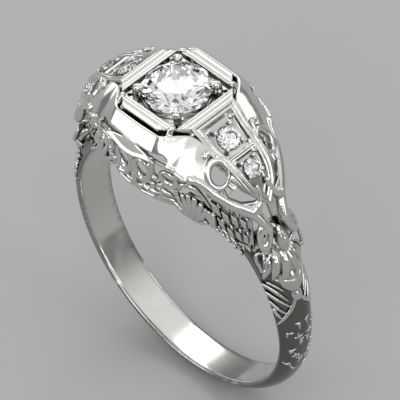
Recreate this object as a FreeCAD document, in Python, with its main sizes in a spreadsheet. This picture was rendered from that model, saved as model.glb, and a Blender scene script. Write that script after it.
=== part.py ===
import FreeCAD, Part
import math
import os

import Sketcher
from FreeCAD import Placement, Rotation, Vector

# Engagement ring, pierced die-struck head in white gold.
# +Y is the finger axis, +Z points up through the centre stone, X runs along the shoulders.
# The origin is the centre of the finger hole.  Front is -Y, right is +X.  Millimetres.

doc = FreeCAD.newDocument("EngagementRing")

DIMENSIONS = {
    "finger_radius": 8.45,
    "head_angle": 43.0,
    "rail_thickness": 0.60,
    "rail_width": 0.62,
    "gallery_top_radius": 12.26,
    "gallery_thickness": 0.40,
    "skirt_bottom_radius": 12.30,
    "table_height": 14.05,
    "skirt_foot_height": 11.20,
    "box_half_length": 3.00,
    "box_half_width": 3.10,
    "box_thickness": 1.05,
    "recess_half": 2.22,
    "recess_depth": 0.30,
    "collet_radius": 2.18,
    "ridge_width": 0.14,
    "ridge_depth": 0.10,
    "centre_diameter": 4.30,
    "centre_girdle_height": 14.15,
    "prong_offset": 1.74,
    "prong_radius": 0.25,
    "prong_bead_radius": 0.34,
    "tray_recess": 0.24,
    "upper_accent_diameter": 1.45,
    "lower_accent_diameter": 1.20,
    "tray_bead_radius": 0.15,
    "scroll_radius": 0.26,
    "piercing_radius": 0.62,
    "post_radius": 0.15,
    "rim_bead_radius": 0.17,
    "petal_radius": 0.31,
    "loop_radius": 0.30,
    "loop_wire": 0.10,
}

# Shank stations: angle from the top, half width, outer edge radius, crest radius.
SHANK_STATIONS = [
    (43, 1.70, 8.95, 9.10),
    (49, 1.55, 9.30, 9.80),
    (56, 1.50, 9.20, 9.95),
    (64, 1.47, 8.95, 9.70),
    (74, 1.43, 8.75, 9.50),
    (90, 1.32, 8.70, 9.42),
    (115, 1.22, 8.70, 9.38),
    (145, 1.17, 8.70, 9.35),
    (180, 1.15, 8.70, 9.35),
]

sheet = doc.addObject("Spreadsheet::Sheet", "Dims")
cells = dict(DIMENSIONS)
for number, (_, half_width, edge, crest) in enumerate(SHANK_STATIONS, 1):
    cells[f"shank_width_{number}"] = half_width
    cells[f"shank_edge_{number}"] = edge
    cells[f"shank_crest_{number}"] = crest
for row, (alias, value) in enumerate(cells.items(), 1):
    sheet.set(f"A{row}", alias)
    sheet.set(f"B{row}", str(value))
    sheet.setAlias(f"B{row}", alias)
doc.recompute()

FINGER = DIMENSIONS["finger_radius"]
TABLE = DIMENSIONS["table_height"]
X_AXIS, Y_AXIS, Z_AXIS = Vector(1, 0, 0), Vector(0, 1, 0), Vector(0, 0, 1)
ALONG_Y = Rotation(X_AXIS, -90)
parts = []


# ---------------------------------------------------------------- helpers

def add(kind, label, **properties):
    """Add a document object; a text value is bound as an expression."""
    thing = doc.addObject(kind, label)
    thing.Label = label
    for key, value in properties.items():
        if isinstance(value, str) and key != "DirMode":
            thing.setExpression(key, value)
        else:
            setattr(thing, key, value)
    return thing


def keep(thing, label):
    """Name a finished sub-part and put it on the list to write."""
    thing.Label = label
    parts.append(thing)
    return thing


def cut(label, base, *tools):
    """Cut the tools from the base one after another."""
    for number, tool in enumerate(tools):
        base = add("Part::Cut", f"{label}_cut{number}", Base=base, Tool=tool)
    return base


def common(label, *shapes):
    return add("Part::MultiCommon", label, Shapes=list(shapes))


def fuse(label, *shapes):
    return add("Part::MultiFuse", label, Shapes=list(shapes))


def mirrored(thing, label, normal):
    return add("Part::Mirroring", label, Source=thing, Normal=normal)


def pair(thing, name, first, second, normal):
    """Keep a piece and its mirror image."""
    keep(thing, f"{name}_{first}")
    keep(mirrored(thing, f"{name}_{second}", normal), f"{name}_{second}")


def quadrants(thing, name):
    """Keep a front right piece and its three mirror images."""
    pair(thing, name, "front_right", "front_left", X_AXIS)
    back = mirrored(thing, f"{name}_back_right", Y_AXIS)
    pair(back, name, "back_right", "back_left", X_AXIS)


def outline(label, curves, plane):
    """Sketch made of joined curves given as point lists; two points make a line."""
    drawing = doc.addObject("Sketcher::SketchObject", label)
    drawing.Label = label
    if plane == "XZ":
        drawing.Placement = Placement(Vector(), Rotation(X_AXIS, 90))
    for points in curves:
        points = [Vector(across, along, 0) for across, along in points]
        if len(points) == 2:
            drawing.addGeometry(Part.LineSegment(*points))
        elif len(points) == 3:
            drawing.addGeometry(Part.Arc(*points))
        else:
            curve = Part.BSplineCurve()
            curve.interpolate(points)
            drawing.addGeometry(curve)
    return drawing


def prism(label, curves, plane, start, end):
    """Solid between two heights: along Z for a plan, along Y for a side view."""
    drawing = outline(f"{label}_outline", curves, plane)
    direction = Z_AXIS if plane == "XY" else Y_AXIS
    drawing.Placement.Base = direction * start
    return add("Part::Extrusion", label, Base=drawing, DirMode="Custom", Dir=direction,
               LengthFwd=end - start, Solid=True)


def closed(points):
    """Straight sides joining the points in order and back to the first."""
    return [[points[i], points[(i + 1) % len(points)]] for i in range(len(points))]


def mirror_list(points):
    return [(-across, along) for across, along in reversed(points) if across > 0] + points


def along_finger(label, radius, start_angle=0.0, sweep=360.0):
    """Cylinder about the finger axis, or the sector of it from one angle on."""
    turn = Rotation(Y_AXIS, start_angle - 90).multiply(ALONG_Y)
    return add("Part::Cylinder", label, Radius=radius, Height=12.0, Angle=sweep,
               Placement=Placement(Vector(0, -6, 0), turn))


def aimed(direction):
    return Rotation(Z_AXIS, Vector(*direction))


def rod(label, start, end, radius):
    """Round rod between two points."""
    start, end = Vector(*start), Vector(*end)
    return add("Part::Cylinder", label, Radius=radius, Height=(end - start).Length,
               Placement=Placement(start, aimed(end - start)))


def bead(label, centre, radius):
    return add("Part::Sphere", label, Radius=radius,
               Placement=Placement(Vector(*centre), Rotation()))


def wire(label, points, radius):
    """Round wire swept through the points."""
    curve = Part.BSplineCurve()
    curve.interpolate([Vector(*point) for point in points])
    spine = doc.addObject("Part::Feature", f"{label}_spine")
    spine.Shape = curve.toShape()
    section = add("Part::Circle", f"{label}_section", Radius=radius,
                  Placement=Placement(curve.StartPoint, aimed(curve.tangent(0.0)[0])))
    return add("Part::Sweep", label, Sections=[section], Spine=(spine, ["Edge1"]),
               Solid=True, Frenet=False)


def polar(angle, radius, across=0.0):
    """Point at an angle from the top of the finger hole, a radius and a Y position."""
    turn = math.radians(angle)
    return (radius * math.sin(turn), across, radius * math.cos(turn))


# ---------------------------------------------------------------- shank

def shank_section(body, angle, station):
    """Flat-backed, domed cross-section standing at an angle round the finger."""
    _, half_width, edge, crest = SHANK_STATIONS[station - 1]
    rise = crest - edge
    radius = (half_width ** 2 + rise ** 2) / (2 * rise)
    inner = FINGER - 0.2
    section = body.newObject("Sketcher::SketchObject", f"shank_section_{angle}")
    section.AttachmentSupport = [(body.Origin.OriginFeatures[5], "")]
    section.MapMode = "FlatFace"
    section.AttachmentOffset = Placement(Vector(), Rotation(X_AXIS, angle))
    corners = [Vector(-half_width, inner, 0), Vector(half_width, inner, 0),
               Vector(half_width, edge, 0), Vector(-half_width, edge, 0)]
    section.addGeometry(Part.LineSegment(corners[0], corners[1]))
    section.addGeometry(Part.LineSegment(corners[1], corners[2]))
    section.addGeometry(Part.Arc(corners[2], Vector(0, crest, 0), corners[3]))
    section.addGeometry(Part.LineSegment(corners[3], corners[0]))
    for constraint in (
        Sketcher.Constraint("Coincident", 0, 2, 1, 1),
        Sketcher.Constraint("Coincident", 1, 2, 2, 1),
        Sketcher.Constraint("Coincident", 2, 2, 3, 1),
        Sketcher.Constraint("Coincident", 3, 2, 0, 1),
        Sketcher.Constraint("Vertical", 1),
        Sketcher.Constraint("Symmetric", 0, 1, 0, 2, -2),
        Sketcher.Constraint("Symmetric", 1, 2, 3, 1, -2),
    ):
        section.addConstraint(constraint)
    across, up = f"Dims.shank_width_{station}", f"Dims.shank_edge_{station}"
    height = f"(Dims.shank_crest_{station} - {up})"
    for kind, geometry, value, formula in (
        ("DistanceX", (0, 1, 0, 2), 2 * half_width, f"2 * {across}"),
        ("DistanceY", (-1, 1, 0, 1), inner, "Dims.finger_radius - 0.2"),
        ("DistanceY", (-1, 1, 1, 2), edge, up),
        ("Radius", (2,), radius, f"({across} ^ 2 + {height} ^ 2) / (2 * {height})"),
    ):
        index = section.addConstraint(Sketcher.Constraint(kind, *geometry, value))
        section.setExpression(f"Constraints[{index}]", formula)
    return section


def build_shank():
    body = doc.addObject("PartDesign::Body", "shank_body")
    right = [(angle, number) for number, (angle, *_) in enumerate(SHANK_STATIONS, 1)]
    left = [(360 - angle, number) for angle, number in reversed(right[:-1])]
    sections = [shank_section(body, angle, number) for angle, number in right + left]
    doc.recompute()
    loft = body.newObject("PartDesign::AdditiveLoft", "shank_loft")
    loft.Profile = sections[0]
    loft.Sections = sections[1:]
    body.Tip = loft
    bore = along_finger("shank_bore", "Dims.finger_radius")
    return keep(cut("shank", body, bore), "shank")


shank = build_shank()


# ---------------------------------------------------------------- gallery rail and leaves

RAIL_EDGE = [(0.0, 3.80), (0.7, 3.76), (1.3, 3.66), (2.0, 3.38), (3.0, 2.88), (3.8, 2.46),
             (4.6, 2.12), (5.3, 1.90), (6.0, 1.75), (6.5, 1.68)]
GALLERY_EDGE = [(0.0, 4.12), (0.8, 4.08), (1.5, 3.98), (2.2, 3.78), (3.0, 3.42)]


def band(label, edge, width, inner, outer, sweep):
    """Strip following an edge curve in plan, inside a sector round the finger."""
    near = [(across, -along) for across, along in mirror_list(edge)]
    far = [(across, along + width) for across, along in near]
    curves = [near, [near[-1], far[-1]], far, [far[0], near[0]]]
    strip = prism(f"{label}_strip", curves, "XY", 0.0, 14.0)
    sector = along_finger(f"{label}_sector", outer, -sweep / 2, sweep)
    hole = along_finger(f"{label}_hole", inner)
    return common(f"{label}_band", strip, cut(f"{label}_ring", sector, hole))


def almond(label, across, up, half_length, half_height, tilt):
    """Pointed oval cutter standing through the front, long axis tilted from X."""
    turn = math.radians(tilt)
    along = (math.cos(turn) * half_length, math.sin(turn) * half_length)
    side = (-math.sin(turn) * half_height, math.cos(turn) * half_height)
    tip, tail = (across + along[0], up + along[1]), (across - along[0], up - along[1])
    top, low = (across + side[0], up + side[1]), (across - side[0], up - side[1])
    return prism(label, [[tail, top, tip], [tip, low, tail]], "XZ", -6.0, -2.0)


rail = band("rail", RAIL_EDGE, DIMENSIONS["rail_width"], "Dims.finger_radius",
            "Dims.finger_radius + Dims.rail_thickness", 2 * DIMENSIONS["head_angle"])
pair(rail, "gallery_rail", "front", "back", Y_AXIS)

ALMONDS = [
    (0.0, 10.55, 0.95, 0.42, 0), (0.0, 11.65, 0.62, 0.20, 0), (0.0, 9.62, 0.70, 0.22, 0),
    (1.45, 11.25, 0.85, 0.30, 38), (1.50, 10.20, 0.80, 0.30, -30), (2.45, 10.65, 0.62, 0.24, 62),
    (2.35, 9.60, 0.55, 0.20, -25),
]
openings = []
for count, (across, up, length, height, tilt) in enumerate(ALMONDS):
    openings.append(almond(f"leaf_opening_{count}", across, up, length, height, tilt))
    if across:
        openings.append(almond(f"leaf_opening_{count}m", -across, up, length, height, -tilt))
leaves = band("leaves", GALLERY_EDGE, DIMENSIONS["gallery_thickness"],
              "Dims.finger_radius + Dims.rail_thickness", "Dims.gallery_top_radius", 40.0)
leaves = cut("leaves", leaves, *openings)
pair(leaves, "gallery_leaves", "front", "back", Y_AXIS)


# ---------------------------------------------------------------- shoulder trays

TRAY_TOP = [(3.02, 14.04), (3.60, 13.62), (4.31, 13.02), (5.54, 12.36), (6.30, 11.76),
            (6.90, 10.85), (7.38, 9.84)]
TRAY_PLAN = [(3.02, 1.75), (3.70, 1.66), (4.40, 1.52), (5.54, 1.14), (6.30, 0.80),
             (6.90, 0.42), (7.40, 0.03)]
UPPER_RECESS = [(3.30, 1.32), (3.90, 1.24), (4.60, 1.08), (5.36, 0.84)]
LOWER_RECESS = [(5.72, 0.72), (6.10, 0.60), (6.60, 0.38), (6.95, 0.08)]
UPPER_ACCENT, UPPER_TILT = (4.31, 0.0, 12.86), 33.0
LOWER_ACCENT, LOWER_TILT = (6.20, 0.0, 11.70), 42.0


def leaf_plan(points):
    """Closed plan outline, symmetric about the X axis."""
    below = [(across, -along) for across, along in points]
    return [points, [points[-1], below[-1]], below, [below[0], points[0]]]


def tray_profile(lower, upper):
    """Side view between two offsets from the ridge line of the tray."""
    low = [(across, up + lower) for across, up in TRAY_TOP]
    high = [(across, up + upper) for across, up in TRAY_TOP]
    return [low, [low[-1], high[-1]], high, [high[0], low[0]]]


def f_value(formula):
    """Number behind a sheet formula such as Dims.accent_upper."""
    return DIMENSIONS[formula.split(".")[1]]


def stone_seat(label, centre, tilt, diameter):
    """Tapered seat with a through hole, square to a tilted stone."""
    turn = Rotation(Y_AXIS, tilt)
    axis = turn.multVec(Z_AXIS)
    middle = Vector(*centre)
    cone = add("Part::Cone", f"{label}_cone", Radius1=0.12, Height=0.435 * f_value(diameter),
               Radius2=f"{diameter} / 2 + 0.03",
               Placement=Placement(middle - axis * 0.435 * f_value(diameter), turn))
    collar = add("Part::Cylinder", f"{label}_collar", Radius=f"{diameter} / 2 + 0.03", Height=1.0,
                 Placement=Placement(middle - axis * 0.005, turn))
    drill = add("Part::Cylinder", f"{label}_drill", Radius=0.20, Height=2.2,
                Placement=Placement(middle - axis * 2.4, turn))
    return fuse(label, cone, collar, drill)


tray_outline = prism("tray_plan", leaf_plan(TRAY_PLAN), "XY", 8.0, 15.0)
recess = DIMENSIONS["tray_recess"]
recess_height = prism("tray_recess_height", tray_profile(-recess, 2.0), "XZ", -2.0, 2.0)
tray = common("tray_block", tray_outline,
              prism("tray_height", tray_profile(-0.95, 0.0), "XZ", -2.0, 2.0))
for name, plan in (("upper", UPPER_RECESS), ("lower", LOWER_RECESS)):
    pocket = common(f"tray_{name}_pocket", recess_height,
                    prism(f"tray_{name}_recess", leaf_plan(plan), "XY", 8.0, 15.0))
    tray = cut(f"tray_{name}", tray, pocket)
tray = cut("tray_seats", tray,
           stone_seat("upper_seat", UPPER_ACCENT, UPPER_TILT, "Dims.upper_accent_diameter"),
           stone_seat("lower_seat", LOWER_ACCENT, LOWER_TILT, "Dims.lower_accent_diameter"))
pair(tray, "shoulder_tray", "right", "left", X_AXIS)

beads = []
for name, centre, tilt, diameter in (
    ("upper", UPPER_ACCENT, UPPER_TILT, DIMENSIONS["upper_accent_diameter"]),
    ("lower", LOWER_ACCENT, LOWER_TILT, DIMENSIONS["lower_accent_diameter"]),
):
    for angle in (45, 135, 225, 315):
        reach = diameter / 2 + DIMENSIONS["tray_bead_radius"] + 0.02
        offset = Vector(reach * math.cos(math.radians(angle)),
                        reach * math.sin(math.radians(angle)), 0.02)
        place = Vector(*centre) + Rotation(Y_AXIS, tilt).multVec(offset)
        beads.append(bead(f"tray_bead_{name}_{angle}", place, "Dims.tray_bead_radius"))
tray_beads = cut("tray_beads", add("Part::Compound", "tray_bead_set", Links=beads), tray)
pair(tray_beads, "tray_beads", "right", "left", X_AXIS)


# ---------------------------------------------------------------- head skirt

def octagon(half_x, half_y, flat_x, flat_y):
    """Corners of an octagon: flats at +-half_x and +-half_y, of the given half lengths."""
    return [(half_x, -flat_y), (half_x, flat_y), (flat_x, half_y), (-flat_x, half_y),
            (-half_x, flat_y), (-half_x, -flat_y), (-flat_x, -half_y), (flat_x, -half_y)]


def octagon_loft(label, top, bottom):
    """Loft between an octagon at the table and one at the foot of the skirt."""
    sections = []
    for name, corners, height in (("top", top, "Dims.table_height"),
                                  ("foot", bottom, "Dims.skirt_foot_height")):
        drawing = outline(f"{label}_{name}", closed(corners), "XY")
        drawing.setExpression("Placement.Base.z", height)
        sections.append(drawing)
    return add("Part::Loft", label, Sections=sections, Solid=True, Ruled=True)


skirt_outside = octagon_loft("skirt_outside", octagon(3.32, 3.66, 1.72, 1.98),
                             octagon(5.10, 4.42, 2.95, 3.20))
skirt_inside = octagon_loft("skirt_inside", octagon(3.02, 3.38, 1.58, 1.80),
                            octagon(4.55, 3.95, 2.70, 2.90))
lower_edge = along_finger("skirt_lower_edge", "Dims.skirt_bottom_radius")
back_half = add("Part::Box", "skirt_back_half", Length=14, Width=8, Height=8,
                Placement=Placement(Vector(-7, -0.5, 9), Rotation()))
tray_outline_left = mirrored(tray_outline, "tray_plan_left", X_AXIS)
piercings = []
for side in (-1, 1):
    piercings.append(bead(f"skirt_hole_{'left' if side < 0 else 'right'}",
                          (side * 5.13, -1.75, 11.63), "Dims.piercing_radius"))
    piercings.append(almond(f"skirt_leaf_{'left' if side < 0 else 'right'}",
                            side * 1.95, 13.02, 1.30, 0.22, side * -4))
skirt = cut("skirt", skirt_outside, skirt_inside, lower_edge, back_half, tray_outline,
            tray_outline_left, *piercings)
pair(skirt, "head_skirt", "front", "back", Y_AXIS)


# ---------------------------------------------------------------- stone box, collet and prongs

box_plan = octagon(DIMENSIONS["box_half_length"], DIMENSIONS["box_half_width"], 1.46, 1.66)
block = prism("box_block", closed(box_plan), "XY", TABLE - DIMENSIONS["box_thickness"], TABLE)
half = DIMENSIONS["recess_half"]
well = add("Part::Box", "box_well", Length="2 * Dims.recess_half", Width="2 * Dims.recess_half",
           Height=1.0, Placement=Placement(Vector(-half, -half, TABLE - 0.30), Rotation()))
well.setExpression("Placement.Base.z", "Dims.table_height - Dims.recess_depth")
throat = add("Part::Cylinder", "box_throat", Radius="Dims.collet_radius + 0.01", Height=3,
             Placement=Placement(Vector(0, 0, 12), Rotation()))
ridges = []
RIDGE_LINES = [(2.42, 1.9, (0, 90, 180, 270)), (2.68, 1.65, (0, 90, 180, 270)),
               (2.92, 1.45, (0, 180))]
for number, (distance, length, angles) in enumerate(RIDGE_LINES):
    for angle in angles:
        turn = Rotation(Z_AXIS, angle)
        corner = turn.multVec(Vector(-length, -distance - 0.07, 0))
        ridges.append(add("Part::Box", f"box_ridge_{number}_{angle}", Length=2 * length,
                          Width="Dims.ridge_width", Height=1.0,
                          Placement=Placement(corner + Z_AXIS * (TABLE - 0.10), turn)))
ridge_set = add("Part::Compound", "box_ridges", Links=ridges)
keep(cut("stone_box", block, well, throat, ridge_set), "stone_box")

girdle = DIMENSIONS["centre_girdle_height"]
stone_radius = DIMENSIONS["centre_diameter"] / 2
slope = math.tan(math.radians(40.75))
bearing = [(2.17, girdle - 0.06 - 0.02), (1.72, girdle - 0.08 - 0.45 * slope),
           (1.72, 12.45), (2.17, 12.85)]
collet_section = outline("collet_section", closed(bearing), "XZ")
keep(add("Part::Revolution", "seat_collet", Source=collet_section, Axis=Z_AXIS, Base=Vector(),
         Angle=360.0, Solid=True), "seat_collet")

crown_keepout = add("Part::Cone", "crown_keepout", Radius1=stone_radius + 0.02,
                    Radius2=stone_radius + 0.02 - 0.9, Height=0.9 * math.tan(math.radians(36)),
                    Placement=Placement(Vector(0, 0, girdle + 0.03), Rotation()))
girdle_keepout = add("Part::Cylinder", "girdle_keepout", Radius=stone_radius + 0.02, Height=0.60,
                     Placement=Placement(Vector(0, 0, girdle - 0.57), Rotation()))
stems = []
for side_x in (-1, 1):
    for side_y in (-1, 1):
        spot = Vector(side_x, side_y, 0) * DIMENSIONS["prong_offset"]
        name = f"prong_{side_x + 1}{side_y + 1}"
        stem = add("Part::Cylinder", f"{name}_stem", Radius="Dims.prong_radius", Height=0.55,
                   Placement=Placement(spot + Z_AXIS * (TABLE - 0.30), Rotation()))
        ball = bead(f"{name}_ball", spot + Z_AXIS * 14.34, "Dims.prong_bead_radius")
        stems.append(fuse(name, stem, ball))
prongs = add("Part::Compound", "prong_set", Links=stems)
keep(cut("corner_prongs", prongs, girdle_keepout, crown_keepout), "corner_prongs")


# ---------------------------------------------------------------- diamonds

def clip(polygon, normal, distance):
    """Keep the part of a flat polygon on the inner side of a plane."""
    result = []
    for here, there in zip(polygon, polygon[1:] + polygon[:1]):
        inside, ahead = distance - normal.dot(here), distance - normal.dot(there)
        if inside >= -1e-9:
            result.append(here)
        if (inside > 1e-9 and ahead < -1e-9) or (inside < -1e-9 and ahead > 1e-9):
            result.append(here + (there - here) * (inside / (inside - ahead)))
    return result


def stone_solid(facets):
    """Convex stone bounded by facets given as a normal and a distance."""
    faces = []
    for number, (normal, distance) in enumerate(facets):
        turn = aimed(normal)
        polygon = [normal * distance + turn.multVec(Vector(*corner, 0))
                   for corner in ((-9, -9), (9, -9), (9, 9), (-9, 9))]
        for other, (far_normal, far_distance) in enumerate(facets):
            if other != number and polygon:
                polygon = clip(polygon, far_normal, far_distance)
        if len(polygon) > 2:
            faces.append(Part.Face(Part.makePolygon(polygon + polygon[:1])))
    return Part.makeSolid(Part.makeShell(faces))


def facet(azimuth, angle, point_radius, point_height):
    """Facet tilted from the girdle plane, through a point out along its azimuth."""
    turn, tilt = math.radians(azimuth), math.radians(angle)
    normal = Vector(math.sin(tilt) * math.cos(turn), math.sin(tilt) * math.sin(turn),
                    math.cos(tilt))
    return normal, math.sin(tilt) * point_radius + math.cos(tilt) * point_height


def cut_stone(label, diameter, centre, tilt, full_cut):
    """Old European cut (full_cut) or single cut stone, girdle centred on the point."""
    radius = diameter / 2
    edge = 0.012 * diameter
    table_radius = 0.54 * radius
    crown = (radius - table_radius) * math.tan(math.radians(36)) + edge
    steps = 32 if full_cut else 16
    facets = [facet(0, 0, 0, crown), (Vector(0, 0, -1), 0.40 * diameter)]
    facets += [facet(360 * k / steps, 90, radius, 0) for k in range(steps)]
    for k in range(8):
        facets.append(facet(45 * k, 36, radius * 1.0, edge))
        facets.append(facet(45 * k, 180 - 40.75, radius, -edge))
        if full_cut:
            rim = table_radius * math.cos(math.radians(22.5))
            facets.append(facet(45 * k + 22.5, 21, rim, crown))
            for half_step in (11.25, 33.75):
                facets.append(facet(45 * k + half_step, 41.5, radius * 0.992, edge))
                facets.append(facet(45 * k + half_step, 180 - 42.4, radius * 0.994, -edge))
    stone = doc.addObject("Part::Feature", label)
    stone.Shape = stone_solid(facets)
    stone.Placement = Placement(Vector(*centre), Rotation(Y_AXIS, tilt))
    return keep(stone, label)


cut_stone("centre_diamond", DIMENSIONS["centre_diameter"], (0, 0, girdle), 0, True)
for side, name in ((1, "right"), (-1, "left")):
    for level, centre, tilt in (("upper", UPPER_ACCENT, UPPER_TILT),
                                ("lower", LOWER_ACCENT, LOWER_TILT)):
        spot = (side * centre[0], 0, centre[2])
        cut_stone(f"accent_diamond_{level}_{name}", DIMENSIONS[f"{level}_accent_diameter"],
                  spot, side * tilt, False)


# ---------------------------------------------------------------- scrolls, curls and fans

SCROLL_LINE = [(4.57, 2.33, 12.03), (4.84, 2.50, 11.69), (5.29, 2.53, 11.14), (5.75, 2.35, 10.63),
               (6.20, 2.00, 10.16), (6.63, 1.62, 9.83), (7.05, 1.23, 9.47), (7.37, 0.92, 9.02),
               (7.69, 0.62, 8.45), (7.97, 0.49, 7.95)]
VOLUTE_EYE, VOLUTE_ANGLE = (7.86, 1.08, 7.62), 46.0


def volute():
    """Points curling outward round the eye, in the plane square to the radius."""
    turn = math.radians(VOLUTE_ANGLE)
    down = Vector(math.cos(turn), 0, -math.sin(turn))
    points = []
    for step in range(1, 8):
        angle = math.radians(36 * step)
        reach = 0.58 - 0.022 * step
        offset = down * (reach * math.sin(angle)) - Y_AXIS * (reach * math.cos(angle))
        points.append(tuple(Vector(*VOLUTE_EYE) + offset))
    return points


scroll_path = [(x, -y, z) for x, y, z in SCROLL_LINE + volute()]
scroll = cut("scroll", wire("scroll_wire", scroll_path, "Dims.scroll_radius"), skirt, shank)
quadrants(scroll, "scroll")

curl_path = [(4.62, -1.90, 12.25), (4.86, -2.02, 12.02), (5.06, -1.96, 11.84),
             (5.16, -1.82, 11.74)]
curl = fuse("curl", wire("curl_stem", curl_path, 0.09),
            bead("curl_tip", (5.18, -1.80, 11.70), 0.17))
quadrants(cut("hole_curl", curl, skirt, scroll, tray), "hole_curl")

fan = add("Part::Ellipsoid", "fan", Radius1=0.22, Radius2=0.52, Radius3=0.62,
          Placement=Placement(Vector(5.78, -1.70, 10.98), Rotation(Y_AXIS, 40)))
quadrants(cut("fan_leaf", fan, scroll, tray, skirt), "fan_leaf")


# ---------------------------------------------------------------- trellis, flowers, rim beads

POSTS = [((26, 9.03, -1.88), (4.98, -2.30, 11.35)), ((32, 9.03, -1.62), (5.72, -2.15, 10.55)),
         ((38, 9.03, -1.38), (6.50, -1.55, 9.85))]
rods = []
for number, (foot, head) in enumerate(POSTS):
    rods.append(rod(f"trellis_post_{number}", polar(*foot), head, "Dims.post_radius"))
for level, share in enumerate((0.42, 0.78)):
    knots = [Vector(*polar(*foot)) + (Vector(*head) - Vector(*polar(*foot))) * share
             for foot, head in POSTS]
    for number in range(2):
        rods.append(rod(f"trellis_bar_{level}{number}", knots[number], knots[number + 1], 0.12))
trellis = cut("trellis", fuse("trellis_frame", *rods), scroll, rail, leaves, shank)
quadrants(trellis, "trellis")

flower_centre = Vector(3.72, -3.02, 9.55)
flower_turn = aimed((0.55, -0.80, 0.15))
petals = [bead("flower_eye", flower_centre, 0.27)]
for number in range(5):
    angle = math.radians(72 * number + 90)
    spot = flower_centre + flower_turn.multVec(Vector(math.cos(angle), math.sin(angle), 0) * 0.46)
    petals.append(bead(f"flower_petal_{number}", spot, "Dims.petal_radius"))
flower = cut("flower", fuse("flower_cluster", *petals), leaves, rail, trellis)
quadrants(flower, "gallery_flower")

RIM_BEADS = [(24, 2.32), (28.5, 2.04), (33, 1.82), (37, 1.68), (41, 1.57)]
row = []
for angle, across in RIM_BEADS:
    reach = FINGER + DIMENSIONS["rail_thickness"] + DIMENSIONS["rim_bead_radius"]
    row.append(bead(f"rim_bead_{len(row)}", polar(angle, reach, -across), "Dims.rim_bead_radius"))
rim = cut("rim", add("Part::Compound", "rim_bead_set", Links=row), trellis, rail, shank)
quadrants(rim, "rim_beads")


# ---------------------------------------------------------------- shoulder leaves, buds, loops

def oval(label, angle, radius, across, size):
    """Ellipsoid lying on the shank: size is radial, round the finger, along the finger."""
    radial, around, along = size
    return add("Part::Ellipsoid", label, Radius1=radial, Radius2=around, Radius3=along,
               Placement=Placement(Vector(*polar(angle, radius, across)), Rotation(Y_AXIS, angle)))


leaf = cut("leaf", oval("leaf_oval", 62, 9.55, 0, (0.72, 2.25, 0.92)), shank)
pair(leaf, "shoulder_leaf", "right", "left", X_AXIS)
scroll_back = mirrored(scroll, "scroll_keepout", Y_AXIS)
bud = cut("bud", oval("bud_oval", 49.5, 10.42, 0, (0.66, 1.05, 0.40)), shank, leaf, scroll,
          scroll_back)
pair(bud, "shoulder_bud", "right", "left", X_AXIS)

loop = add("Part::Torus", "side_loop_ring", Radius1="Dims.loop_radius", Radius2="Dims.loop_wire",
           Placement=Placement(Vector(*polar(56.5, 9.98, -1.14)), Rotation(Y_AXIS, 56.5)))
quadrants(cut("side_loop", loop, shank, leaf, scroll, bud), "side_loop")


# ---------------------------------------------------------------- write the parts

doc.recompute()
for thing in doc.Objects:
    if {"Invalid", "Error"} & set(thing.State):
        raise RuntimeError(f"{thing.Label}: {thing.State}")
os.makedirs("parts", exist_ok=True)
for thing in parts:
    shape = thing.Shape
    if shape.isNull() or not shape.isValid() or not shape.Solids:
        raise RuntimeError(f"{thing.Label}: bad shape")
    shape.exportStep(f"parts/{thing.Label}.step")
    print(f"{thing.Label:32s} {len(shape.Solids):2d} solids {shape.Volume:9.3f} mm3")
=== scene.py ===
# Engagement ring in white gold: the visual pieces, the light and the camera.
# Lengths are millimetres in the frame of the CAD until a mesh is made, metres after that.
# Relief is modelled flat, as signed distances in (u, v, w), and bent onto the ring by a chart.
import math

import bpy
import numpy as np
from mathutils import Matrix, Vector


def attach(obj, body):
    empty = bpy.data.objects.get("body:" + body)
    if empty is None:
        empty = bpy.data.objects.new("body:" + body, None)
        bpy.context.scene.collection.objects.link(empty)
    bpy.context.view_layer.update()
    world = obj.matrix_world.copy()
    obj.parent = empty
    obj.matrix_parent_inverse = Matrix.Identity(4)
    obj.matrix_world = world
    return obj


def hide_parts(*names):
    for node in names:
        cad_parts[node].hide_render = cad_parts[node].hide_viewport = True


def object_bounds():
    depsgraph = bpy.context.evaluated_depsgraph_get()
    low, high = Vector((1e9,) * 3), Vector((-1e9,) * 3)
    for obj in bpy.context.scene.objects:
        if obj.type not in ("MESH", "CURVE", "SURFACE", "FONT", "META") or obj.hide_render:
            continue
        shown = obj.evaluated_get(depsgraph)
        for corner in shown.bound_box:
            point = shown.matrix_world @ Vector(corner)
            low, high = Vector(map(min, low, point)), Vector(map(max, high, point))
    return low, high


MM = 0.001
FINGER = 8.45  # radius of the finger hole

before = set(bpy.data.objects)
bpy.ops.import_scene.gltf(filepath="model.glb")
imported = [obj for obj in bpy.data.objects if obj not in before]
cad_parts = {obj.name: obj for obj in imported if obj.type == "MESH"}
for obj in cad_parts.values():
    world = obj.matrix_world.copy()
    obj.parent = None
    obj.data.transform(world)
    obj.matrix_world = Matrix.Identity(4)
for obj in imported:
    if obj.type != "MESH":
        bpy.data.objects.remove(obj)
cad_low, cad_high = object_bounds()
rng = np.random.default_rng(7)


# ---- curves through points

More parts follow.
